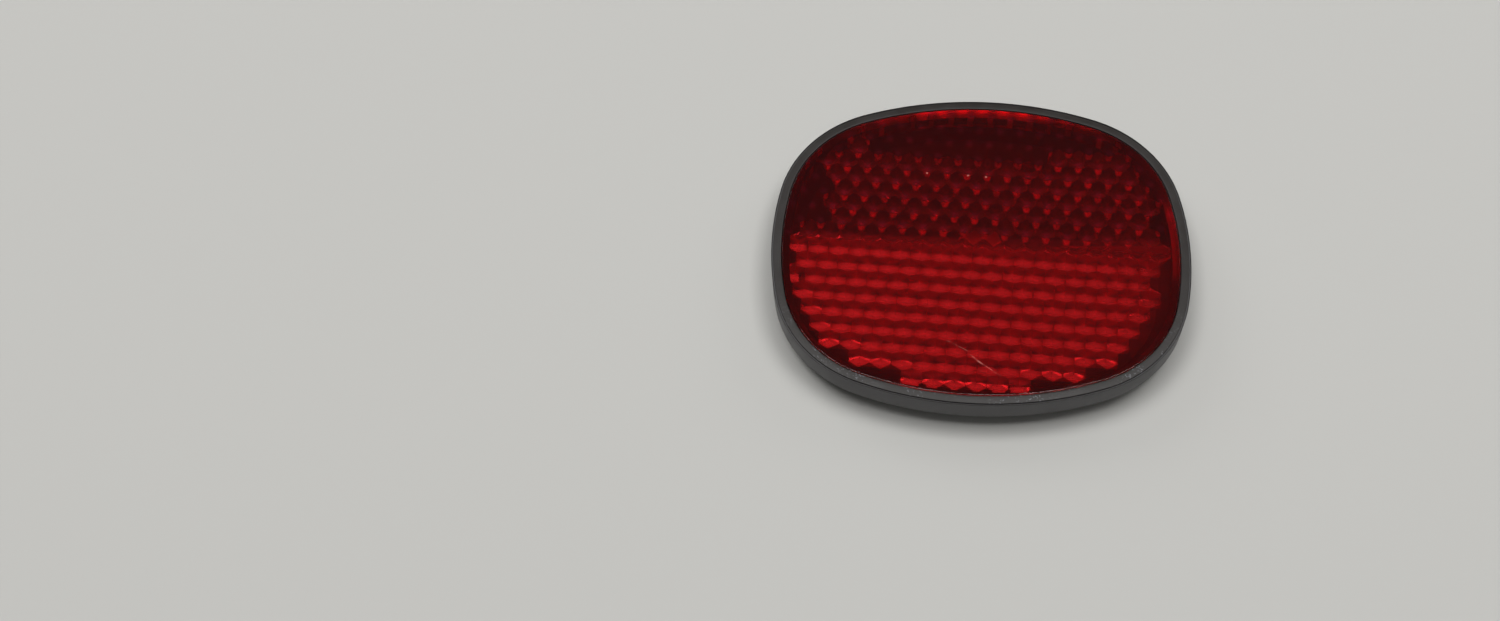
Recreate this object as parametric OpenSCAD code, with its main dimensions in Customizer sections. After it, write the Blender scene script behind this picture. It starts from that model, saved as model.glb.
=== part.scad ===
// Rear reflector for a bicycle: a red corner-cube lens welded into a dark moulded housing,
// lying face up. Millimetres, +Z out of the lens face, +Y towards the top of the lens.

/* [Face outline] */
// Width of the face, left to right
face_w = 45.5; // [42:0.5:50]
// Depth of the face, near side to far side
face_d = 39.2; // [37:0.1:42]
// Radius of the left and right sides
side_r = 35; // [30:0.5:45]
// Radius of the near and far sides
end_r = 39; // [34:0.5:50]
// Radius of the four corners
corner_r = 14; // [12:0.5:15]

/* [Housing] */
// Width of the flat rim around the lens
rim_w = 1.1; // [0.9:0.05:1.5]
// Height of the upright side wall
side_h = 2.5; // [2.1:0.1:2.9]
// How far the back slopes in below the side wall
back_slope = 2.0; // [1.4:0.1:2.4]
// Thickness of the floor
floor_t = 1.0; // [0.8:0.05:1.2]
// Width of the ledge that the lens stands on
ledge_w = 0.9; // [0.6:0.05:1.1]
// Chamfer along the outer edge of the rim
rim_chamfer = 0.15; // [0.05:0.05:0.3]
// Diameter of the boss around the nut
boss_d = 9.5; // [8.5:0.5:14]

/* [Lens] */
// Thickness of the plate in front of the pins
plate_t = 0.8; // [0.6:0.1:1.4]
// Height of the edge wall that stands on the ledge
skirt_h = 2.5; // [2.2:0.1:2.8]
// Thickness of the edge wall
skirt_t = 0.75; // [0.6:0.05:1]
// Running gap between the lens and the rim around it
lens_gap = 0.1; // [0.05:0.05:0.2]
// How far the lens face lies below the rim
lens_drop = 0.05; // [0.05:0.05:0.2]
// Chamfer along the front edge of the lens
lens_chamfer = 0.12; // [0.05:0.01:0.2]

/* [Pins] */
// Width across the flats of one hexagonal pin
pin_pitch = 2.25; // [2:0.05:2.4]
// Height of the straight root under the pins
pin_root = 0.05; // [0.05:0.01:0.1]
// Turn of the pin field in the lens, clockwise, degrees
pin_turn = 3.2; // [0:0.1:6]
// How far the pin field's middle lies to the left of the lens's middle
pin_shift = 0.75; // [0:0.05:1.1]
// Least distance from a pin's middle to the edge wall; the wall cuts pins that stand closer
pin_margin = 0.4; // [0.35:0.05:1.2]
// Further distance from a pin's middle to the edge wall at the right side
right_margin = 0.85; // [0:0.05:1.5]
// Depth of the plain band along the far side, from the face's edge to the nearest pin's middle
far_band_d = 6.1; // [5.6:0.1:7]
// Depth of the deeper plain strip in the middle of the far side, from the face's edge
far_strip_d = 7.5; // [7:0.1:9]
// Width of that strip
far_strip_w = 19.5; // [12:0.5:24]
// Distance of that strip's middle to the left of the lens's middle
far_strip_shift = 2.2; // [0:0.1:4]
// Length of the plain patch at the left side
side_patch_l = 6.4; // [4:0.2:8]
// Depth of that patch, from the face's edge
side_patch_d = 5.8; // [4.5:0.1:7]
// Distance of that patch's middle above the lens's middle
side_patch_y = 7; // [5:0.5:8]

/* [Nut] */
// Width across the flats of the thin nut
nut_af = 5.5; // [5:0.1:7]
// Thickness of the nut
nut_t = 1.8; // [1.6:0.1:2.4]
// Inner diameter of the nut's thread
thread_bore_d = 2.5; // [2:0.1:3.2]
// Gap between the nut and the tips of the pins
tip_gap = 0.16; // [0.1:0.02:0.4]

/* [Hidden] */
half_w = face_w / 2;
half_d = face_d / 2;
// Heights, from the surface that the housing lies on
pin_edge = pin_pitch / sqrt(2);
pin_step = pin_edge / sqrt(3);
tip_z = nut_t + tip_gap;
pin_top_z = tip_z + 2 * pin_step;
plate_z = pin_top_z + pin_root;
lens_z = plate_z + plate_t;
rim_z = lens_z + lens_drop;
side_z = rim_z - side_h;
seat_z = lens_z - skirt_h;
// Insets from the face outline
lens_inset = rim_w + lens_gap;
skirt_inset = lens_inset + skirt_t;
ledge_inset = rim_w + ledge_w;
floor_inset = ledge_inset + (seat_z - floor_t) * back_slope / side_z;
field_inset = skirt_inset + pin_margin;
// Pins that reach into the edge wall are cut off inside it
cut_inset = skirt_inset - skirt_t / 3;
// Arc centres of the outline: each corner arc is tangent to a side arc and an end arc
side_c = [half_w - side_r, 0];
end_c = [0, half_d - end_r];
side_reach = side_r - corner_r;
end_reach = end_r - corner_r;
centres_apart = norm(end_c - side_c);
along = (side_reach ^ 2 - end_reach ^ 2 + centres_apart ^ 2) / (2 * centres_apart);
across = sqrt(side_reach ^ 2 - along ^ 2);
to_end = (end_c - side_c) / centres_apart;
corner_c = side_c + along * to_end + across * [-to_end[1], to_end[0]];
side_angle = atan2(corner_c[1] - side_c[1], corner_c[0] - side_c[0]);
end_angle = atan2(corner_c[1] - end_c[1], corner_c[0] - end_c[0]);
curve_fn = 200;
overlap = 0.5;
// The outline is drawn in steps of about this length
arc_step = 1;
side_steps = 2 * ceil(side_angle * PI / 180 * side_r / arc_step);
end_steps = 2 * ceil((90 - end_angle) * PI / 180 * end_r / arc_step);
corner_steps = ceil((end_angle - side_angle) * PI / 180 * corner_r / arc_step);

// How far a point lies inside the face outline, by the arc whose sector holds it
function depth_in(p) =
    let (
        q = [abs(p[0]), abs(p[1])],
        by_side = atan2(q[1] - side_c[1], q[0] - side_c[0]) <= side_angle,
        by_end = atan2(q[1] - end_c[1], q[0] - end_c[0]) >= end_angle
    )
    by_side ? side_r - norm(q - side_c)
    : by_end ? end_r - norm(q - end_c)
    : corner_r - norm(q - corner_c);

// Points along one arc, without its last, which the next arc gives
function arc(centre, r, from, to, steps) =
    [for (i = [0 : steps - 1]) let (t = from + (to - from) * i / steps) centre + r * [cos(t), sin(t)]];

// The face outline moved in by an inset, counterclockwise from the right side
function ring(inset) =
    let (
        side = side_r - inset,
        end = end_r - inset,
        corner = corner_r - inset,
        left_c = [-corner_c[0], corner_c[1]]
    )
    concat(
        arc(side_c, side, -side_angle, side_angle, side_steps),
        arc(corner_c, corner, side_angle, end_angle, corner_steps),
        arc(end_c, end, end_angle, 180 - end_angle, end_steps),
        arc(left_c, corner, 180 - end_angle, 180 - side_angle, corner_steps),
        arc(-side_c, side, 180 - side_angle, 180 + side_angle, side_steps),
        arc(-corner_c, corner, 180 + side_angle, 180 + end_angle, corner_steps),
        arc(-end_c, end, 180 + end_angle, 360 - end_angle, end_steps),
        arc(-left_c, corner, 360 - end_angle, 360 - side_angle, corner_steps)
    );

// A body whose section is a profile of [inset, height] places carried round the outline,
// from the edge of its flat underside to the edge of its flat top
module outline_body(profile) {
    count = len(ring(0));
    last = len(profile) - 1;
    polyhedron(
        points = [for (place = profile, q = ring(place[0])) concat(q, place[1])],
        faces = concat(
            [[for (i = [0 : count - 1]) i]],
            [[for (i = [count - 1 : -1 : 0]) last * count + i]],
            [
                for (j = [0 : last - 1], i = [0 : count - 1])
                    let (next = (i + 1) % count)
                    [j * count + i, (j + 1) * count + i, (j + 1) * count + next, j * count + next]
            ]
        )
    );
}

// The pin field is a lattice of pointy hexagons. Its vertices and centres have whole-number
// places [u, v]: u counts half pitches along a row, and v counts half corner radii across it.
unit_v = pin_pitch / (2 * sqrt(3));
row_v = 3;
middle_v = 1.5;
columns = ceil(face_w / pin_pitch);
rows = ceil(face_d / (row_v * unit_v));
corner_uv = [[0, 2], [-1, 1], [-1, -1], [0, -2], [1, -1], [1, 1]];
neighbour_uv = [[-1, 3], [-2, 0], [-1, -3], [1, -3], [2, 0], [1, 3]];

// Place in the lens of a lattice place, turned with the field
function turned(p) =
    [p[0] * cos(pin_turn) + p[1] * sin(pin_turn), p[1] * cos(pin_turn) - p[0] * sin(pin_turn)];
function flat_place(q) = turned([q[0] * pin_pitch / 2 - pin_shift, (q[1] + middle_v) * unit_v]);
function lattice_point(q, z) = concat(flat_place(q), z);

// A cell belongs to the field where its middle is far enough inside the edge wall and clear of
// the plain band, strip and patch
function in_far_band(p) = p[1] > half_d - far_band_d;
function in_far_strip(p) =
    abs(p[0] + far_strip_shift) < far_strip_w / 2 && p[1] > half_d - far_strip_d;
function in_side_patch(p) =
    p[0] < side_patch_d - half_w && abs(p[1] - side_patch_y) < side_patch_l / 2;
function held(q) =
    let (p = flat_place(q))
    depth_in(p) >= field_inset && depth_in(p + [right_margin, 0]) >= field_inset
    && !in_far_band(p) && !in_far_strip(p) && !in_side_patch(p);
function is_cell(q) = abs(q[1]) <= row_v * rows && held(q);
// The field has two zones, turned half a turn from each other
function is_far(q) = q[1] >= 0;
// A corner of a cell is alternately a step below the plate and level with it
function corner_z(q, k) = (k % 2 == 0) == is_far(q) ? pin_top_z : tip_z + pin_step;

CELLS = [
    for (row = [-rows : rows - 1], column = [-columns : columns])
        let (q = [2 * column + abs(row % 2), row_v * row])
        if (is_cell(q)) q
];

// Triangles of one sixth of a cell, between corner k and the next: its slope down to the tip,
// its share of the flat top, and a wall where the field ends or the other zone begins
function sixth(q, k) =
    let (
        next = (k + 1) % 6,
        a = q + corner_uv[k],
        b = q + corner_uv[next],
        za = corner_z(q, k),
        zb = corner_z(q, next),
        top = plate_z + overlap / 2,
        low_a = lattice_point(a, za),
        low_b = lattice_point(b, zb),
        top_a = lattice_point(a, top),
        top_b = lattice_point(b, top),
        tip = lattice_point(q, tip_z),
        crown = lattice_point(q, top),
        middle = lattice_point((a + b) / 2, (za + zb) / 2),
        other = q + neighbour_uv[k],
        alone = !is_cell(other),
        border = !alone && is_far(other) != is_far(q),
        slope = border ? [[tip, low_a, middle], [tip, middle, low_b]] : [[tip, low_a, low_b]],
        level_a = lattice_point(a, pin_top_z),
        level_b = lattice_point(b, pin_top_z),
        walls = alone ? [
                za < zb ? [low_a, level_a, low_b] : [low_a, level_b, low_b],
                [level_a, top_b, level_b],
                [level_a, top_a, top_b]
            ]
            : border && is_far(q) ? [
                [low_a, lattice_point(a, zb), middle],
                [low_b, middle, lattice_point(b, za)]
            ]
            : []
    )
    concat(slope, [[crown, top_b, top_a]], walls);

module pins() {
    triangles = [for (q = CELLS, k = [0:5]) each sixth(q, k)];
    intersection() {
        polyhedron(
            points = [for (t = triangles) each t],
            faces = [for (i = [0 : len(triangles) - 1]) [3 * i, 3 * i + 1, 3 * i + 2]]
        );
        outline_body([[cut_inset, 0], [cut_inset, lens_z]]);
    }
}

module lens() {
    color([0.55, 0.02, 0.03, 0.8])
        union() {
            outline_body([
                [skirt_inset, plate_z],
                [skirt_inset, seat_z],
                [lens_inset, seat_z],
                [lens_inset, lens_z - lens_chamfer],
                [lens_inset + lens_chamfer, lens_z]
            ]);
            pins();
        }
}

// A flat-sided hexagon with a given width across its flats
module hexagon(across_flats, h) {
    cylinder(h = h, d = across_flats / cos(30), $fn = 6);
}

module housing() {
    color([0.16, 0.16, 0.17])
        difference() {
            union() {
                outline_body([
                    [back_slope, 0],
                    [0, side_z],
                    [0, rim_z - rim_chamfer],
                    [rim_chamfer, rim_z],
                    [rim_w, rim_z],
                    [rim_w, seat_z],
                    [ledge_inset, seat_z],
                    [floor_inset, floor_t]
                ]);
                cylinder(h = nut_t, d = boss_d, $fn = curve_fn);
            }
            translate([0, 0, -overlap])
                hexagon(nut_af, nut_t + 2 * overlap);
        }
}

module nut() {
    color([0.66, 0.66, 0.64])
        difference() {
            hexagon(nut_af, nut_t);
            translate([0, 0, -overlap])
                cylinder(h = nut_t + 2 * overlap, d = thread_bore_d, $fn = curve_fn);
        }
}

housing();
lens();
nut();
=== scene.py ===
"""Looks of a bicycle's rear reflector: a red corner-cube lens in a dark moulded housing, lying face up."""

import math

import bpy
import numpy as np
from mathutils import Matrix, Vector


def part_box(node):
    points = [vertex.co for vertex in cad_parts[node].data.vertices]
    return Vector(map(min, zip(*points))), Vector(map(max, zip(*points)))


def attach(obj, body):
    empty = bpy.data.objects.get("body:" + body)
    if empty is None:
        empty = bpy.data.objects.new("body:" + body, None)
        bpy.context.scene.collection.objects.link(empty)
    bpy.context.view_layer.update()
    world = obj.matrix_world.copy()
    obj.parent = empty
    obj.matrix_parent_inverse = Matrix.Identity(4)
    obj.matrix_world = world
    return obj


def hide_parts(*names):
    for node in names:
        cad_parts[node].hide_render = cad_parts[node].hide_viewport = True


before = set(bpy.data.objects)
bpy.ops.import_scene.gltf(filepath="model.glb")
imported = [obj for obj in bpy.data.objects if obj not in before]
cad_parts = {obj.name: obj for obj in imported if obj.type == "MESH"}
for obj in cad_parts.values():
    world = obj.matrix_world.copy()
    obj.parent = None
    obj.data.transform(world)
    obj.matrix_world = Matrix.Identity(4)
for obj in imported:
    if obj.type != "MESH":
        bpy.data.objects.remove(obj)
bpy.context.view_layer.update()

MM = 0.001

# Face outline: half sizes come from the frame, the radii are the moulding's own
HOUSING_LOW, HOUSING_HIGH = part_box("housing")
LENS_LOW, LENS_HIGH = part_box("lens")
NUT_LOW, NUT_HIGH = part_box("nut")
HALF_W = (HOUSING_HIGH.x - HOUSING_LOW.x) / 2
HALF_D = (HOUSING_HIGH.y - HOUSING_LOW.y) / 2
SIDE_R = 35 * MM
END_R = 39 * MM
CORNER_R = 14 * MM

# Heights
RIM_Z = HOUSING_HIGH.z
LENS_Z = LENS_HIGH.z
TIP_Z = LENS_LOW.z
SIDE_H = 2.5 * MM
SKIRT_H = 2.5 * MM
PLATE_T = 0.8 * MM
FLOOR_T = 1.0 * MM
SIDE_Z = RIM_Z - SIDE_H
SEAT_Z = LENS_Z - SKIRT_H
PLATE_Z = LENS_Z - PLATE_T

# Insets from the face outline
RIM_W = 1.1 * MM
LENS_INSET = HALF_W - LENS_HIGH.x
SKIRT_T = 0.75 * MM
SKIRT_INSET = LENS_INSET + SKIRT_T
LEDGE_INSET = RIM_W + 0.9 * MM
BACK_SLOPE = 2.0 * MM
FLOOR_INSET = LEDGE_INSET + (SEAT_Z - FLOOR_T) * BACK_SLOPE / SIDE_Z
BOSS_D = 9.5 * MM
BOSS_FOOT_Z = 0.2 * MM

# Pins
PIN_PITCH = 2.25 * MM
PIN_STEP = PIN_PITCH / math.sqrt(6)
PIN_TOP_Z = TIP_Z + 2 * PIN_STEP
PIN_TURN = math.radians(3.2)
PIN_SHIFT = 0.75 * MM
PIN_MARGIN = 0.4 * MM
RIGHT_MARGIN = 0.85 * MM
FAR_BAND_D = 6.1 * MM
FAR_STRIP_D = 7.5 * MM
FAR_STRIP_W = 19.5 * MM
FAR_STRIP_SHIFT = 2.2 * MM
SIDE_PATCH_L = 6.4 * MM
SIDE_PATCH_D = 5.8 * MM
SIDE_PATCH_Y = 7 * MM
CUT_INSET = SKIRT_INSET - SKIRT_T / 3

# Roundings: the lens's front edge, the rim's inner edge and the foot of the side wall
LENS_EDGE_R = 0.05 * MM
RIM_INNER_R = 0.08 * MM
SIDE_FOOT_R = 0.1 * MM

# The floor lies this little below the back, and the lens's foot above its ledge, so that no faces coincide
FLOOR_DROP = 0.01 * MM
FOOT_LIFT = 0.02 * MM

# Half sizes of the field of pins
FIELD_HALF_W = 20.2 * MM
FIELD_HALF_D = 16.9 * MM

# Painted highlight spots of the far zone: their reach, and how far they lie above the low corners of the
# cells
SPOT_R = 0.55 * MM
SPOT_UP = 0.25 * MM

# Wear and painted glints on the front: each scratch's start, length and direction in degrees, and each
# painted glint's middle
SCRATCHES = (
    (-1.14 * MM, -13.87 * MM, 4.15 * MM, -35.8),
    (-1.51 * MM, -13.44 * MM, 4.2 * MM, -38.5),
    (-0.71 * MM, -14.29 * MM, 2.3 * MM, -32.5),
    (-3.90 * MM, -11.86 * MM, 3.3 * MM, -29.0),
)
PAINTED_GLINTS = (
    (-5.87 * MM, 9.42 * MM, LENS_Z),
    (-1.30 * MM, 9.21 * MM, LENS_Z),
    (0.70 * MM, 9.06 * MM, LENS_Z),
)

# The rim slopes down to its outer edge by this much; the edge has a thin lip and a fine groove, as pairs of
# millimetres inwards and down from the crest
RIM_FALL = 0.05 * MM
RIM_EDGE = (
    (0.0, 0.14),
    (0.02, 0.10),
    (0.05, 0.09),
    (0.07, 0.12),
    (0.08, 0.26),
    (0.20, 0.26),
    (0.205, 0.10),
    (0.22, 0.07),
    (0.26, 0.05),
)

# Camera, as fitted to the face's outline in the picture
CAMERA_AZIMUTH = math.radians(2.87)
CAMERA_ELEVATION = math.radians(59.35)
CAMERA_ROLL = math.radians(-1.02)
CAMERA_TARGET = Vector((-15.63 * MM, -8.75 * MM, RIM_Z))
CAMERA_DISTANCE = 177.66 * MM
CAMERA_FOCUS = 40.13
CAMERA_SHIFT = -0.056

# Height and radiance of the overhead lamps
TOP_LAMP_Z = 0.95
TOP_RADIANCE = 5.2

# The pin lattice counts half pitches along a row and half corner radii across it
UNIT_V = PIN_PITCH / (2 * math.sqrt(3))
CORNER_UV = np.array([[0, 2], [-1, 1], [-1, -1], [0, -2], [1, -1], [1, 1]])
NEIGHBOUR_UV = np.array([[-1, 3], [-2, 0], [-1, -3], [1, -3], [2, 0], [1, 3]])


def arc_centres():
    """Centres of the outline's arcs: the corner circle touches the side and end circles from inside."""
    side = np.array([HALF_W - SIDE_R, 0.0])
    end = np.array([0.0, HALF_D - END_R])
    to_end = end - side
    apart = np.hypot(*to_end)
    to_end = to_end / apart
    side_reach, end_reach = SIDE_R - CORNER_R, END_R - CORNER_R
    along = (side_reach**2 - end_reach**2 + apart**2) / (2 * apart)
    across = math.sqrt(side_reach**2 - along**2)
    corner = side + along * to_end + across * np.array([-to_end[1], to_end[0]])
    return side, end, corner


SIDE_C, END_C, CORNER_C = arc_centres()
SIDE_ANGLE = math.atan2(CORNER_C[1] - SIDE_C[1], CORNER_C[0] - SIDE_C[0])
END_ANGLE = math.atan2(CORNER_C[1] - END_C[1], CORNER_C[0] - END_C[0])
SIDE_STEPS, END_STEPS, CORNER_STEPS = 48, 96, 60


def ring(inset):
    """Face outline moved in by an inset: eight arcs, each its centre plus radius times (cos, sin)."""
    corner_turned = CORNER_C * [-1, 1]
    arcs = (
        (SIDE_C, SIDE_R, -SIDE_ANGLE, SIDE_ANGLE, SIDE_STEPS),
        (CORNER_C, CORNER_R, SIDE_ANGLE, END_ANGLE, CORNER_STEPS),
        (END_C, END_R, END_ANGLE, math.pi - END_ANGLE, END_STEPS),
        (corner_turned, CORNER_R, math.pi - END_ANGLE, math.pi - SIDE_ANGLE, CORNER_STEPS),
        (-SIDE_C, SIDE_R, math.pi - SIDE_ANGLE, math.pi + SIDE_ANGLE, SIDE_STEPS),
        (-CORNER_C, CORNER_R, math.pi + SIDE_ANGLE, math.pi + END_ANGLE, CORNER_STEPS),
        (-END_C, END_R, math.pi + END_ANGLE, 2 * math.pi - END_ANGLE, END_STEPS),
        (-corner_turned, CORNER_R, 2 * math.pi - END_ANGLE, 2 * math.pi - SIDE_ANGLE, CORNER_STEPS),
    )
    stretches = []
    for centre, radius, start, stop, steps in arcs:
        angle = np.linspace(start, stop, steps, endpoint=False)
        stretches.append(centre + (radius - inset) * np.stack([np.cos(angle), np.sin(angle)], axis=1))
    return np.concatenate(stretches)


def depth_in(points):
    """How far points lie inside the face outline: their arc's radius less the distance from its centre."""
    q = np.abs(points)
    by_side = np.arctan2(q[..., 1] - SIDE_C[1], q[..., 0] - SIDE_C[0]) <= SIDE_ANGLE
    by_end = np.arctan2(q[..., 1] - END_C[1], q[..., 0] - END_C[0]) >= END_ANGLE
    side = SIDE_R - np.linalg.norm(q - SIDE_C, axis=-1)
    end = END_R - np.linalg.norm(q - END_C, axis=-1)
    corner = CORNER_R - np.linalg.norm(q - CORNER_C, axis=-1)
    return np.where(by_side, side, np.where(by_end, end, corner))


def ring_quads(rings, count):
    """Quads between neighbouring closed rings of points: each joins a step and the next on both rings."""
    level, step = np.meshgrid(np.arange(rings - 1), np.arange(count), indexing="ij")
    after = (step + 1) % count
    low, high = level * count, (level + 1) * count
    return np.stack([low + step, low + after, high + after, high + step], axis=-1).reshape(-1, 4)


def carried_profile(profile):
    """Rings of the outline at each (inset, height) of a profile, as points, with the quads between them."""
    points = np.concatenate(
        [np.column_stack([ring(inset), np.full(len(ring(0)), height)]) for inset, height in profile]
    )
    count = len(ring(0))
    return points, ring_quads(len(profile), count), count


def rounded(inset, height, radius, start, stop, steps):
    """Profile places on a small quarter circle: centre plus radius times (cos, sin), angles in degrees."""
    angle = np.radians(np.linspace(start, stop, steps))
    return [(inset - radius * c, height + radius * s) for c, s in zip(np.cos(angle), np.sin(angle))]


def merged_mesh(name, points, faces):
    """A mesh whose points within a tenth of a micron are one point, each face a list of point numbers."""
    keys = np.round(np.asarray(points) / 1e-7).astype(np.int64)
    _, first, place = np.unique(keys, axis=0, return_index=True, return_inverse=True)
    place = place.reshape(-1)
    mesh = bpy.data.meshes.new(name)
    mesh.from_pydata(np.asarray(points)[first].tolist(), [], [place[np.asarray(f)].tolist() for f in faces])
    mesh.validate()
    mesh.update()
    return mesh


def combined(name, first, second, operation):
    """The union, difference or intersection of two closed meshes, worked out a thousand times larger."""
    blocks = []
    for mesh in (first, second):
        mesh.transform(Matrix.Scale(1000, 4))
        block = bpy.data.objects.new("block", mesh)
        bpy.context.scene.collection.objects.link(block)
        blocks.append(block)
    modifier = blocks[0].modifiers.new("join", "BOOLEAN")
    modifier.operation = operation
    modifier.solver = "EXACT"
    modifier.object = blocks[1]
    graph = bpy.context.evaluated_depsgraph_get()
    mesh = bpy.data.meshes.new_from_object(blocks[0].evaluated_get(graph))
    mesh.name = name
    mesh.transform(Matrix.Scale(0.001, 4))
    for block in blocks:
        old = block.data
        bpy.data.objects.remove(block)
        bpy.data.meshes.remove(old)
    return mesh


def add_piece(name, mesh, material, node):
    """An object at the origin that stands for a node and rides on the one body."""
    piece = bpy.data.objects.new(name, mesh)
    bpy.context.scene.collection.objects.link(piece)
    mesh.materials.clear()
    mesh.materials.append(material)
    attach(piece, "root")
    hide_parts(node)
    return piece


def shade(mesh, sharp_degrees):
    """Smooth shading that breaks at edges sharper than an angle."""
    mesh.polygons.foreach_set("use_smooth", np.ones(len(mesh.polygons), bool))
    mesh.set_sharp_from_angle(angle=math.radians(sharp_degrees))


def flat_place(q):
    """A lattice place in the lens: half pitches less the shift, and half corner radii, turned clockwise."""
    x, y = q[..., 0] * PIN_PITCH / 2 - PIN_SHIFT, (q[..., 1] + 1.5) * UNIT_V
    c, s = math.cos(PIN_TURN), math.sin(PIN_TURN)
    return np.stack([x * c + y * s, y * c - x * s], axis=-1)


def pin_lattice():
    """Lattice places of the pins: rows three half corner radii apart, odd rows half a pitch along."""
    columns = math.ceil(2 * HALF_W / PIN_PITCH)
    rows = math.ceil(2 * HALF_D / (3 * UNIT_V))
    row, column = np.meshgrid(np.arange(-rows, rows), np.arange(-columns, columns + 1), indexing="ij")
    cells = np.stack([2 * column + np.abs(row % 2), 3 * row], axis=-1).reshape(-1, 2)
    p = flat_place(cells)
    clear = depth_in(p) >= SKIRT_INSET + PIN_MARGIN
    clear &= depth_in(p + [RIGHT_MARGIN, 0]) >= SKIRT_INSET + PIN_MARGIN
    clear &= p[:, 1] <= HALF_D - FAR_BAND_D
    clear &= (np.abs(p[:, 0] + FAR_STRIP_SHIFT) >= FAR_STRIP_W / 2) | (p[:, 1] <= HALF_D - FAR_STRIP_D)
    clear &= (p[:, 0] >= SIDE_PATCH_D - HALF_W) | (np.abs(p[:, 1] - SIDE_PATCH_Y) >= SIDE_PATCH_L / 2)
    return cells[clear]


def pins_mesh(cells):
    """All pins: six slopes from each tip to corners that are by turns one and two steps up, and a crown."""
    n_cells = len(cells)
    k = np.arange(6)
    after = (k + 1) % 6
    far = (cells[:, 1] >= 0)[:, None]
    a = cells[:, None, :] + CORNER_UV[k]
    b = cells[:, None, :] + CORNER_UV[after]
    za = np.where((k % 2 == 0) != far, TIP_Z + PIN_STEP, PIN_TOP_Z)
    zb = np.where((after % 2 == 0) != far, TIP_Z + PIN_STEP, PIN_TOP_Z)
    other = cells[:, None, :] + NEIGHBOUR_UV[k]
    code = cells[:, 0] * 1000 + cells[:, 1]
    alone = ~np.isin(other[..., 0] * 1000 + other[..., 1], code)
    border = ~alone & ((other[..., 1] >= 0) != far)
    top = PLATE_Z + 0.25 * MM

    def at(q, z):
        return np.concatenate([flat_place(q), np.broadcast_to(z, q.shape[:-1])[..., None]], axis=-1)

    middle = np.broadcast_to(cells[:, None, :], (n_cells, 6, 2))
    tip, crown = at(middle, TIP_Z), at(middle, top)
    low_a, low_b, top_a, top_b = at(a, za), at(b, zb), at(a, top), at(b, top)
    level_a, level_b, half = at(a, PIN_TOP_Z), at(b, PIN_TOP_Z), at((a + b) / 2, (za + zb) / 2)
    wall = border & far
    rising = alone & (za < zb)
    falling = alone & (za >= zb)
    groups = [
        (~border, (tip, low_b, low_a)),
        (border, (tip, half, low_a)),
        (border, (tip, low_b, half)),
        (wall, (low_a, half, at(a, zb))),
        (wall, (low_b, at(b, za), half)),
        (np.ones_like(border), (crown, top_a, top_b)),
        (rising, (low_a, low_b, level_a)),
        (falling, (low_a, low_b, level_b)),
        (alone, (level_a, level_b, top_b)),
        (alone, (level_a, top_b, top_a)),
    ]
    triangles = np.concatenate([np.stack([p[chosen] for p in points], axis=1) for chosen, points in groups])
    return merged_mesh("pins", triangles.reshape(-1, 3), np.arange(3 * len(triangles)).reshape(-1, 3))


def closed_profile(name, profile):
    """A solid: a profile of (inset, height) places carried round the outline, with both ends closed flat."""
    points, quads, count = carried_profile(profile)
    top = len(points) - count
    faces = [*quads, np.arange(count - 1, -1, -1), np.arange(top, top + count)]
    return merged_mesh(name, points, faces)


def lens_mesh():
    """The lens: plate, edge wall and foot carried round the outline, with the pins cut inside the wall."""
    foot_z = SEAT_Z + FOOT_LIFT
    profile = [(SKIRT_INSET, PLATE_Z), (SKIRT_INSET, foot_z), (LENS_INSET, foot_z)]
    profile += rounded(LENS_INSET + LENS_EDGE_R, LENS_Z - LENS_EDGE_R, LENS_EDGE_R, 0, 90, 7)
    profile += [(LENS_INSET + 2 * LENS_EDGE_R, LENS_Z)]
    cutter = closed_profile("cutter", [(CUT_INSET, 0), (CUT_INSET, LENS_Z)])
    pins = combined("pins", pins_mesh(pin_lattice()), cutter, "INTERSECT")
    mesh = combined("lens_moulding", closed_profile("plate", profile), pins, "UNION")
    shade(mesh, 20)
    return mesh


def mark_foot(mesh):
    """Gives the second material to the faces that stand on the ledge."""
    normals = np.empty(3 * len(mesh.polygons), np.float32)
    centres = np.empty(3 * len(mesh.polygons), np.float32)
    mesh.polygons.foreach_get("normal", normals)
    mesh.polygons.foreach_get("center", centres)
    down = normals.reshape(-1, 3)[:, 2] < -0.99
    foot = down & (np.abs(centres.reshape(-1, 3)[:, 2] - SEAT_Z) < 0.05 * MM)
    mesh.polygons.foreach_set("material_index", foot.astype(np.int32))


def housing_mesh():
    """The housing: a profile carried round the outline, with a round boss and the nut's hexagonal pocket."""
    profile = [(BACK_SLOPE, 0.0), (0.0, SIDE_Z - SIDE_FOOT_R), (0.0, SIDE_Z)]
    profile += [(inset * MM, RIM_Z - drop * MM) for inset, drop in RIM_EDGE]
    inset = np.linspace(0.30, 0.9, 8)
    profile += [(w * MM, RIM_Z - RIM_FALL * (1 - (w - 0.26) / 0.64) ** 1.6) for w in inset]
    profile += rounded(RIM_W - RIM_INNER_R, RIM_Z - RIM_INNER_R, RIM_INNER_R, 90, 180, 4)
    profile += [(RIM_W, SEAT_Z), (LEDGE_INSET, SEAT_Z), (FLOOR_INSET, FLOOR_T)]
    body = closed_profile("body", profile)
    boss = prism("boss", BOSS_D / 2, 96, BOSS_FOOT_Z, NUT_HIGH.z)
    pocket = prism("pocket", (NUT_HIGH.x - NUT_LOW.x) / 2, 6, -1 * MM, NUT_HIGH.z + 1 * MM)
    mesh = combined("housing_moulding", combined("body", body, boss, "UNION"), pocket, "DIFFERENCE")
    shade(mesh, 35)
    return mesh


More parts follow.
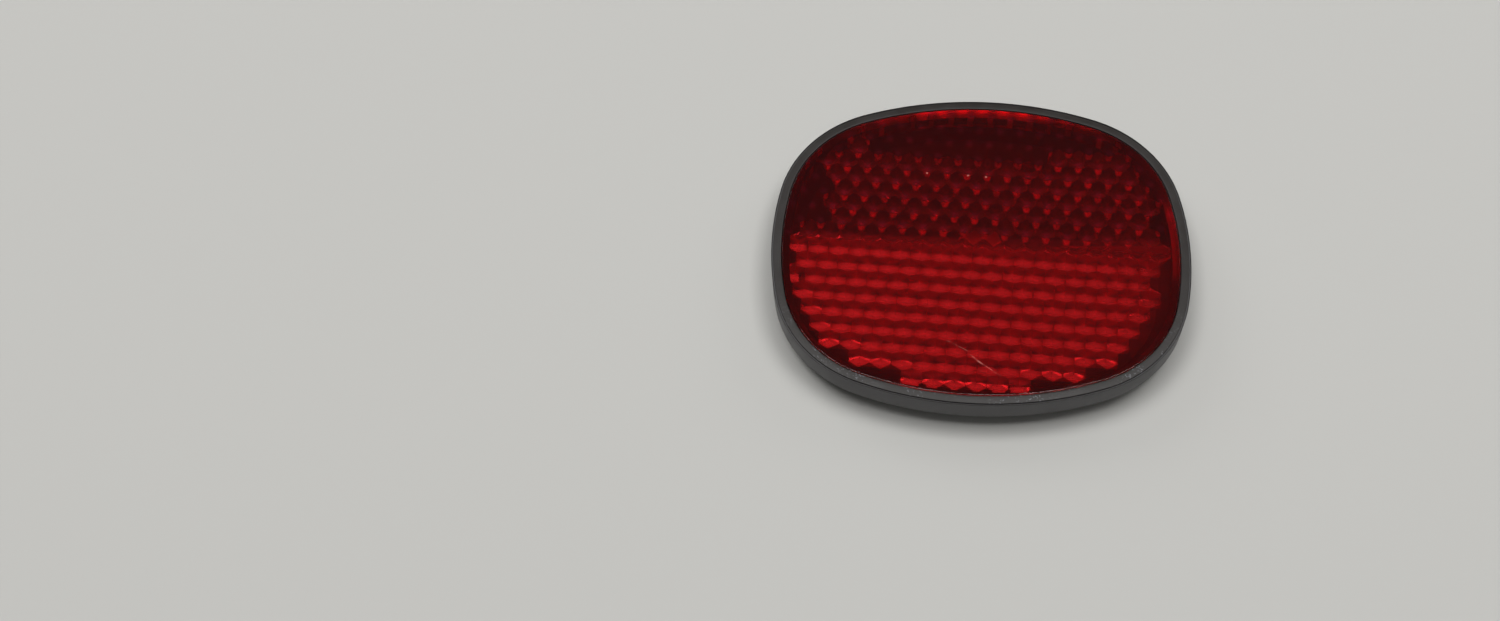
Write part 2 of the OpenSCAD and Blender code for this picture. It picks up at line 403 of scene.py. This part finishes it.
def prism(name, radius, sides, low, high):
    """An upright prism: its corners are radius times (cos, sin) at equal angles, closed at both heights."""
    angle = np.linspace(0, 2 * math.pi, sides, endpoint=False)
    ring_points = radius * np.stack([np.cos(angle), np.sin(angle)], axis=1)
    points = np.concatenate([np.column_stack([ring_points, np.full(sides, z)]) for z in (low, high)])
    step = np.arange(sides)
    after = (step + 1) % sides
    sides_faces = np.stack([step, after, after + sides, step + sides], axis=1)
    return merged_mesh(name, points, [*sides_faces, step[::-1], step + sides])


def new_material(name, **values):
    """A material with one Principled shader, with plain values on its sockets, and its node tree."""
    material = bpy.data.materials.new(name)
    material.use_nodes = True
    tree = material.node_tree
    shader = tree.nodes["Principled BSDF"]
    for socket, value in values.items():
        shader.inputs[socket.replace("_", " ")].default_value = value
    return material, tree, shader


def feed(tree, value, socket):
    """Puts a node's output or a plain value on a socket."""
    if isinstance(value, bpy.types.NodeSocket):
        tree.links.new(value, socket)
    else:
        socket.default_value = value


def maths(tree, operation, *values, clamp=False):
    """A Math node's output for an operation on one to three values."""
    node = tree.nodes.new("ShaderNodeMath")
    node.operation = operation
    node.use_clamp = clamp
    for value, socket in zip(values, node.inputs):
        feed(tree, value, socket)
    return node.outputs[0]


def vectors(tree, operation, *values, out=0):
    """A Vector Math node's output for an operation on vectors."""
    node = tree.nodes.new("ShaderNodeVectorMath")
    node.operation = operation
    for value, socket in zip(values, node.inputs):
        feed(tree, value, socket)
    return node.outputs[out]


def place(tree, location=(0, 0, 0), turn=0.0, scale=(1, 1, 1)):
    """Object coordinates scaled, turned about Z and moved."""
    coordinates = tree.nodes.new("ShaderNodeTexCoord")
    mapping = tree.nodes.new("ShaderNodeMapping")
    mapping.inputs["Location"].default_value = location
    mapping.inputs["Rotation"].default_value = (0, 0, turn)
    mapping.inputs["Scale"].default_value = scale
    tree.links.new(coordinates.outputs["Object"], mapping.inputs["Vector"])
    return mapping.outputs[0]


def noise(tree, vector, scale, detail=2.0, roughness=0.5):
    """A noise texture's value at a vector."""
    node = tree.nodes.new("ShaderNodeTexNoise")
    node.inputs["Scale"].default_value = scale
    node.inputs["Detail"].default_value = detail
    node.inputs["Roughness"].default_value = roughness
    tree.links.new(vector, node.inputs["Vector"])
    return node.outputs[0]


def ramp(tree, value, low, high, to_low=0.0, to_high=1.0, smooth=True):
    """A value carried from one range to another, held at its ends."""
    node = tree.nodes.new("ShaderNodeMapRange")
    node.interpolation_type = "SMOOTHSTEP" if smooth else "LINEAR"
    for socket, number in zip(("From Min", "From Max", "To Min", "To Max"), (low, high, to_low, to_high)):
        node.inputs[socket].default_value = number
    tree.links.new(value, node.inputs["Value"])
    return node.outputs[0]


def blend(tree, factor, first, second):
    """Two colours mixed by a factor."""
    node = tree.nodes.new("ShaderNodeMix")
    node.data_type = "RGBA"
    tree.links.new(factor, node.inputs[0])
    feed(tree, first, node.inputs[6])
    feed(tree, second, node.inputs[7])
    return node.outputs[2]


def bump(tree, height, strength, distance):
    """A bump node's normal for a height."""
    node = tree.nodes.new("ShaderNodeBump")
    node.inputs["Strength"].default_value = strength
    node.inputs["Distance"].default_value = distance
    tree.links.new(height, node.inputs["Height"])
    return node.outputs[0]


def split(tree, vector):
    """The three numbers of a vector."""
    node = tree.nodes.new("ShaderNodeSeparateXYZ")
    tree.links.new(vector, node.inputs[0])
    return node.outputs


def lattice_spots(tree, reach):
    """How near a point lies to the painted highlight spots, one beside each low corner of the far zone's
    cells.
    """
    u_period, v_period = PIN_PITCH, 6 * UNIT_V
    flat = place(tree, location=(PIN_SHIFT, 0.5 * UNIT_V - SPOT_UP, 0), turn=PIN_TURN)
    low, high = (-u_period / 2, -v_period / 2, 0), (u_period / 2, v_period / 2, 0)
    even = vectors(tree, "WRAP", flat, high, low)
    moved = vectors(tree, "ADD", flat, (u_period / 2, v_period / 2, 0))
    odd = vectors(tree, "WRAP", moved, high, low)
    nearest = maths(
        tree,
        "MINIMUM",
        vectors(tree, "LENGTH", even, out=1),
        vectors(tree, "LENGTH", odd, out=1),
    )
    return ramp(tree, nearest, reach * 0.45, reach, 1.0, 0.0)


def red_acrylic():
    """Clear red acrylic, polished in front; the pin side has painted highlights: bright spots in the far
    zone, and lighter stripes along the rows of cells in the near zone, beside the pins' own stripes.
    """
    material, tree, shader = new_material("red_acrylic", IOR=1.49)
    here = place(tree)
    where = split(tree, here)
    below = ramp(tree, where[2], PLATE_Z - 0.02 * MM, PLATE_Z - 0.01 * MM, 1.0, 0.0)
    far = ramp(tree, where[1], 0.9 * MM, 1.0 * MM)
    near = maths(tree, "SUBTRACT", 1.0, far)
    uneven = ramp(tree, noise(tree, here, 420, 1.0), 0.3, 0.7, 0.6, 1.0)
    # Painted highlight: bright red diffuse spots, one for each cell of the far zone, standing in for glints
    # of the pins
    painted_spots = maths(tree, "MULTIPLY", maths(tree, "MULTIPLY", lattice_spots(tree, SPOT_R), uneven), far)
    row = split(tree, place(tree, location=(0, -1.5 * UNIT_V, 0), turn=PIN_TURN))[1]
    off_row = maths(tree, "ABSOLUTE", maths(tree, "WRAP", row, 1.5 * UNIT_V, -1.5 * UNIT_V))
    # Painted highlight: along the rows of cells in the near zone the lens turns a lighter, less clear red,
    # which brightens the stripes that the pins make too
    painted_stripes = maths(tree, "MULTIPLY", ramp(tree, off_row, 0.12 * MM, 0.6 * MM, 0.03, 0.45), near)
    haze_and_painted_stripes = maths(tree, "ADD", painted_stripes, maths(tree, "MULTIPLY", far, 0.14))
    lost = maths(tree, "MULTIPLY", maths(tree, "MAXIMUM", painted_spots, haze_and_painted_stripes), below)
    wear_and_glints = front_wear_and_glints(tree, here, where[2])
    unmarked = maths(tree, "SUBTRACT", 1.0, wear_and_glints)
    over_pins = maths(
        tree,
        "ADD",
        maths(tree, "POWER", maths(tree, "DIVIDE", maths(tree, "ABSOLUTE", where[0]), FIELD_HALF_W), 2.6),
        maths(tree, "POWER", maths(tree, "DIVIDE", maths(tree, "ABSOLUTE", where[1]), FIELD_HALF_D), 2.6),
    )
    veil = maths(tree, "MULTIPLY", ramp(tree, over_pins, 0.85, 1.1, 0.04, 0.0), near)
    polish = maths(tree, "SUBTRACT", maths(tree, "SUBTRACT", 0.97, veil), lost, clamp=True)
    clear = maths(tree, "MULTIPLY", polish, unmarked)
    tree.links.new(clear, shader.inputs["Transmission Weight"])
    # Painted highlights: the far zone's spots take a bright red, the near zone's stripes a lighter red
    tint = blend(tree, painted_spots, (0.60, 0.011, 0.017, 1), (0.98, 0.035, 0.10, 1))
    tint = blend(tree, painted_stripes, tint, (0.75, 0.011, 0.011, 1))
    # Scratches and painted glints show pale
    tree.links.new(blend(tree, wear_and_glints, tint, (0.62, 0.30, 0.24, 1)), shader.inputs["Base Color"])
    rough = maths(tree, "MULTIPLY", maths(tree, "MULTIPLY", below, near), 0.07)
    tree.links.new(rough, shader.inputs["Roughness"])
    ripple = maths(tree, "MULTIPLY", noise(tree, here, 900, 2.0), below)
    tree.links.new(bump(tree, ripple, 0.3, 0.02 * MM), shader.inputs["Normal"])
    return material


def front_wear_and_glints(tree, here, height):
    """Pale hairlines of wear on the front, each line a thin strip broken by noise, and painted glints as
    small pale specks.
    """
    strips = []
    for x, y, length, degrees in SCRATCHES:
        turn = -math.radians(degrees)
        moved = vectors(tree, "SUBTRACT", here, (x, y, 0))
        turned = tree.nodes.new("ShaderNodeVectorRotate")
        turned.rotation_type = "Z_AXIS"
        turned.inputs["Angle"].default_value = turn
        tree.links.new(moved, turned.inputs["Vector"])
        along, across, up = split(tree, turned.outputs[0])
        from_middle = maths(tree, "ABSOLUTE", maths(tree, "SUBTRACT", along, length / 2))
        inside = ramp(tree, from_middle, length * 0.3, length * 0.5, 1, 0)
        thin = ramp(tree, maths(tree, "ABSOLUTE", across), 0.01 * MM, 0.05 * MM, 1, 0)
        strips.append(maths(tree, "MULTIPLY", inside, thin))
    total = strips[0]
    for strip in strips[1:]:
        total = maths(tree, "MAXIMUM", total, strip)
    total = maths(tree, "MULTIPLY", total, ramp(tree, noise(tree, here, 1500, 1.0), 0.35, 0.6, 0.25, 0.7))
    # Painted glints: small pale specks at given places on the front
    for x, y, z in PAINTED_GLINTS:
        away = vectors(tree, "DISTANCE", here, (x, y, z), out=1)
        total = maths(tree, "MAXIMUM", total, ramp(tree, away, 0.06 * MM, 0.16 * MM, 0.8, 0))
    return maths(tree, "MULTIPLY", total, ramp(tree, height, LENS_Z - 0.05 * MM, LENS_Z - 0.01 * MM))


def foot_painted_highlight():
    """The lens's foot, welded to the ledge, with a painted highlight: shiny red in lumps at the far side,
    thin at the right, dark elsewhere.
    """
    material, tree, shader = new_material("foot_painted_highlight", Roughness=0.28, Metallic=1.0)
    here = place(tree)
    where = split(tree, here)
    lumps = maths(tree, "SINE", maths(tree, "MULTIPLY", where[0], 2 * math.pi / PIN_PITCH))
    uneven = ramp(tree, maths(tree, "ADD", lumps, noise(tree, here, 500, 2.0)), -0.5, 1.2, 0.4, 1.0)
    far = ramp(tree, where[1], 14.0 * MM, 17.4 * MM)
    middle = ramp(tree, maths(tree, "ABSOLUTE", where[0]), 4.5 * MM, 8.5 * MM, 0.85, 0.22)
    right = ramp(tree, where[0], 18 * MM, 20.0 * MM, 0.0, 0.22)
    off_middle = maths(tree, "ABSOLUTE", maths(tree, "SUBTRACT", where[1], 2 * MM))
    beside = ramp(tree, off_middle, 3 * MM, 6 * MM, 1, 0.1)
    far_highlight = maths(tree, "MULTIPLY", far, middle)
    right_highlight = maths(tree, "MULTIPLY", right, beside)
    strength = maths(tree, "MULTIPLY", maths(tree, "MAXIMUM", far_highlight, right_highlight), uneven)
    # Painted highlight: shiny red where the mask is strong, dark elsewhere
    tint = blend(tree, strength, (0.02, 0.006, 0.005, 1), (1.0, 0.12, 0.16, 1))
    tree.links.new(tint, shader.inputs["Base Color"])
    return material


def dark_plastic():
    """Dark grey moulded plastic, satin and finely grained, with pale scuffs on the rim's near side; the side
    wall under the rim is painted a lighter grey, as painted light.
    """
    material, tree, shader = new_material("dark_plastic", Specular_IOR_Level=0.3)
    here = place(tree)
    where = split(tree, here)
    tone = ramp(tree, noise(tree, here, 260, 4.0, 0.6), 0.3, 0.7)
    near = ramp(tree, where[1], -14 * MM, -6 * MM, 1, 0)
    on_slope = ramp(tree, where[2], RIM_Z - 0.10 * MM, RIM_Z - 0.06 * MM)
    specks = ramp(tree, noise(tree, here, 4200, 2.0), 0.58, 0.66)
    patches = ramp(tree, noise(tree, here, 300, 1.0), 0.45, 0.6)
    worn = maths(tree, "MULTIPLY", near, on_slope)
    scuffs = maths(tree, "MULTIPLY", maths(tree, "MULTIPLY", specks, patches), worn)
    plain = blend(tree, tone, (0.0245, 0.0205, 0.0185, 1), (0.0325, 0.0285, 0.0265, 1))
    # Painted light: the side wall below the rim's edge is a lighter grey, as if lit from the floor
    beside = maths(
        tree,
        "MULTIPLY",
        ramp(tree, where[2], SIDE_Z - 0.1 * MM, SIDE_Z),
        ramp(tree, where[2], RIM_Z - 0.2 * MM, RIM_Z - 0.14 * MM, 1, 0),
    )
    painted_light_side = blend(tree, beside, plain, (0.108, 0.105, 0.107, 1))
    tree.links.new(blend(tree, scuffs, painted_light_side, (0.13, 0.13, 0.14, 1)), shader.inputs["Base Color"])
    tree.links.new(ramp(tree, tone, 0, 1, 0.36, 0.50, smooth=False), shader.inputs["Roughness"])
    grain = noise(tree, here, 9000, 2.0)
    tree.links.new(bump(tree, grain, 0.25, 0.02 * MM), shader.inputs["Normal"])
    return material


def zinc_steel():
    """Zinc-plated steel, with fine turning marks and a soft sheen."""
    material, tree, shader = new_material("zinc_steel", Metallic=1.0)
    tone = noise(tree, place(tree, scale=(1, 1, 6)), 1800, 3.0)
    plating = blend(tree, ramp(tree, tone, 0.3, 0.7), (0.48, 0.49, 0.50, 1), (0.62, 0.62, 0.60, 1))
    tree.links.new(plating, shader.inputs["Base Color"])
    tree.links.new(ramp(tree, tone, 0.3, 0.7, 0.28, 0.42), shader.inputs["Roughness"])
    tree.links.new(bump(tree, tone, 0.15, 0.01 * MM), shader.inputs["Normal"])
    return material


def pale_floor():
    """The plain pale floor; far from the lamps it shows its own colour, to the camera alone."""
    colour = (0.60, 0.595, 0.57, 1)
    material, tree, shader = new_material(
        "pale_floor",
        Base_Color=colour,
        Roughness=0.8,
        Specular_IOR_Level=0.1,
        Emission_Color=colour,
    )
    away = vectors(tree, "LENGTH", place(tree), out=1)
    path = tree.nodes.new("ShaderNodeLightPath")
    glow = maths(tree, "MULTIPLY", ramp(tree, away, 0.25, 1.1, 0.0, 0.8), path.outputs["Is Camera Ray"])
    tree.links.new(glow, shader.inputs["Emission Strength"])
    return material


def add_floor():
    """A flat round floor whose edge sweeps up: a profile of (radius, height) turned about Z."""
    angle = np.radians(np.linspace(0, 90, 13))
    flat, bend = 1.6, 0.8
    radius = np.concatenate([[0.02, 0.3, 1.0], flat + bend * np.sin(angle), [flat + bend]])
    height = np.concatenate([[0, 0, 0], bend * (1 - np.cos(angle)), [1.3]]) - FLOOR_DROP
    steps = 96
    turn = np.linspace(0, 2 * math.pi, steps, endpoint=False)
    points = np.stack(
        [
            radius[:, None] * np.cos(turn),
            radius[:, None] * np.sin(turn),
            np.broadcast_to(height[:, None], (len(radius), len(turn))),
        ],
        axis=-1,
    ).reshape(-1, 3)
    quads = ring_quads(len(radius), steps)[:, ::-1]
    mesh = bpy.data.meshes.new("floor")
    mesh.from_pydata(points.tolist(), [], [*quads.tolist(), list(range(steps))])
    mesh.polygons.foreach_set("use_smooth", np.ones(len(mesh.polygons), bool))
    mesh.materials.append(pale_floor())
    floor = bpy.data.objects.new("floor", mesh)
    bpy.context.scene.collection.objects.link(floor)


def add_camera():
    """The photograph's camera: place, turn and focal length worked out from the face's outline in it."""
    level = math.cos(CAMERA_ELEVATION)
    back_x, back_y = math.sin(CAMERA_AZIMUTH) * level, -math.cos(CAMERA_AZIMUTH) * level
    back = Vector((back_x, back_y, math.sin(CAMERA_ELEVATION)))
    right = Vector((0, 0, 1)).cross(back).normalized()
    up = back.cross(right)
    turned_right = math.cos(CAMERA_ROLL) * right + math.sin(CAMERA_ROLL) * up
    turned_up = math.cos(CAMERA_ROLL) * up - math.sin(CAMERA_ROLL) * right
    data = bpy.data.cameras.new("camera")
    data.sensor_width = 36
    data.lens = CAMERA_FOCUS
    data.shift_x = CAMERA_SHIFT
    data.clip_start = 0.01
    camera = bpy.data.objects.new("camera", data)
    axes = Matrix((turned_right, turned_up, back)).transposed().to_4x4()
    axes.translation = CAMERA_TARGET + back * CAMERA_DISTANCE
    camera.matrix_world = axes
    bpy.context.scene.collection.objects.link(camera)
    bpy.context.scene.camera = camera


def add_lamp(name, position, width, height, radiance, aim=(0, 0, 0)):
    """A soft rectangular lamp that looks at a point; its power is pi times its radiance and its area."""
    data = bpy.data.lights.new(name, "AREA")
    data.shape = "RECTANGLE"
    data.size = width
    data.size_y = height
    data.energy = math.pi * radiance * width * height
    lamp = bpy.data.objects.new(name, data)
    direction = Vector(aim) - Vector(position)
    lamp.rotation_euler = direction.to_track_quat("-Z", "Y").to_euler()
    lamp.location = position
    bpy.context.scene.collection.objects.link(lamp)


def add_world():
    """An even pale grey room."""
    world = bpy.data.worlds.new("room")
    world.use_nodes = True
    background = world.node_tree.nodes["Background"]
    background.inputs["Color"].default_value = (1, 1, 1, 1)
    background.inputs["Strength"].default_value = 0.07
    bpy.context.scene.world = world


bpy.context.scene.view_settings.view_transform = "Standard"
add_camera()
add_floor()
add_world()
# The overhead light leaves a gap above the reflector, so that it isn't mirrored in the lens from above
add_lamp("top_left", (-0.34, 0.1, TOP_LAMP_Z), 0.38, 0.6, TOP_RADIANCE, aim=(-0.34, 0.1, 0))
add_lamp("top_right", (0.34, 0.1, TOP_LAMP_Z), 0.38, 0.6, TOP_RADIANCE, aim=(0.34, 0.1, 0))
add_lamp("top_back", (0, 0.27, TOP_LAMP_Z), 0.30, 0.26, TOP_RADIANCE, aim=(0, 0.27, 0))
add_lamp("back_left", (-0.85, 0.85, 0.7), 0.7, 0.7, 1.8)
add_lamp("back_right", (0.95, 0.8, 0.7), 0.7, 0.7, 1.0)
add_lamp("front", (0.1, -0.6, 0.95), 0.55, 0.45, 0.56)
add_lamp("front_side", (0.17, -0.6, 0.93), 0.38, 0.45, 0.12)

lens = add_piece("lens_moulding", lens_mesh(), red_acrylic(), "lens")
# The foot gets the painted highlight material
lens.data.materials.append(foot_painted_highlight())
mark_foot(lens.data)
add_piece("housing_moulding", housing_mesh(), dark_plastic(), "housing")
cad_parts["nut"].material_slots[0].material = zinc_steel()
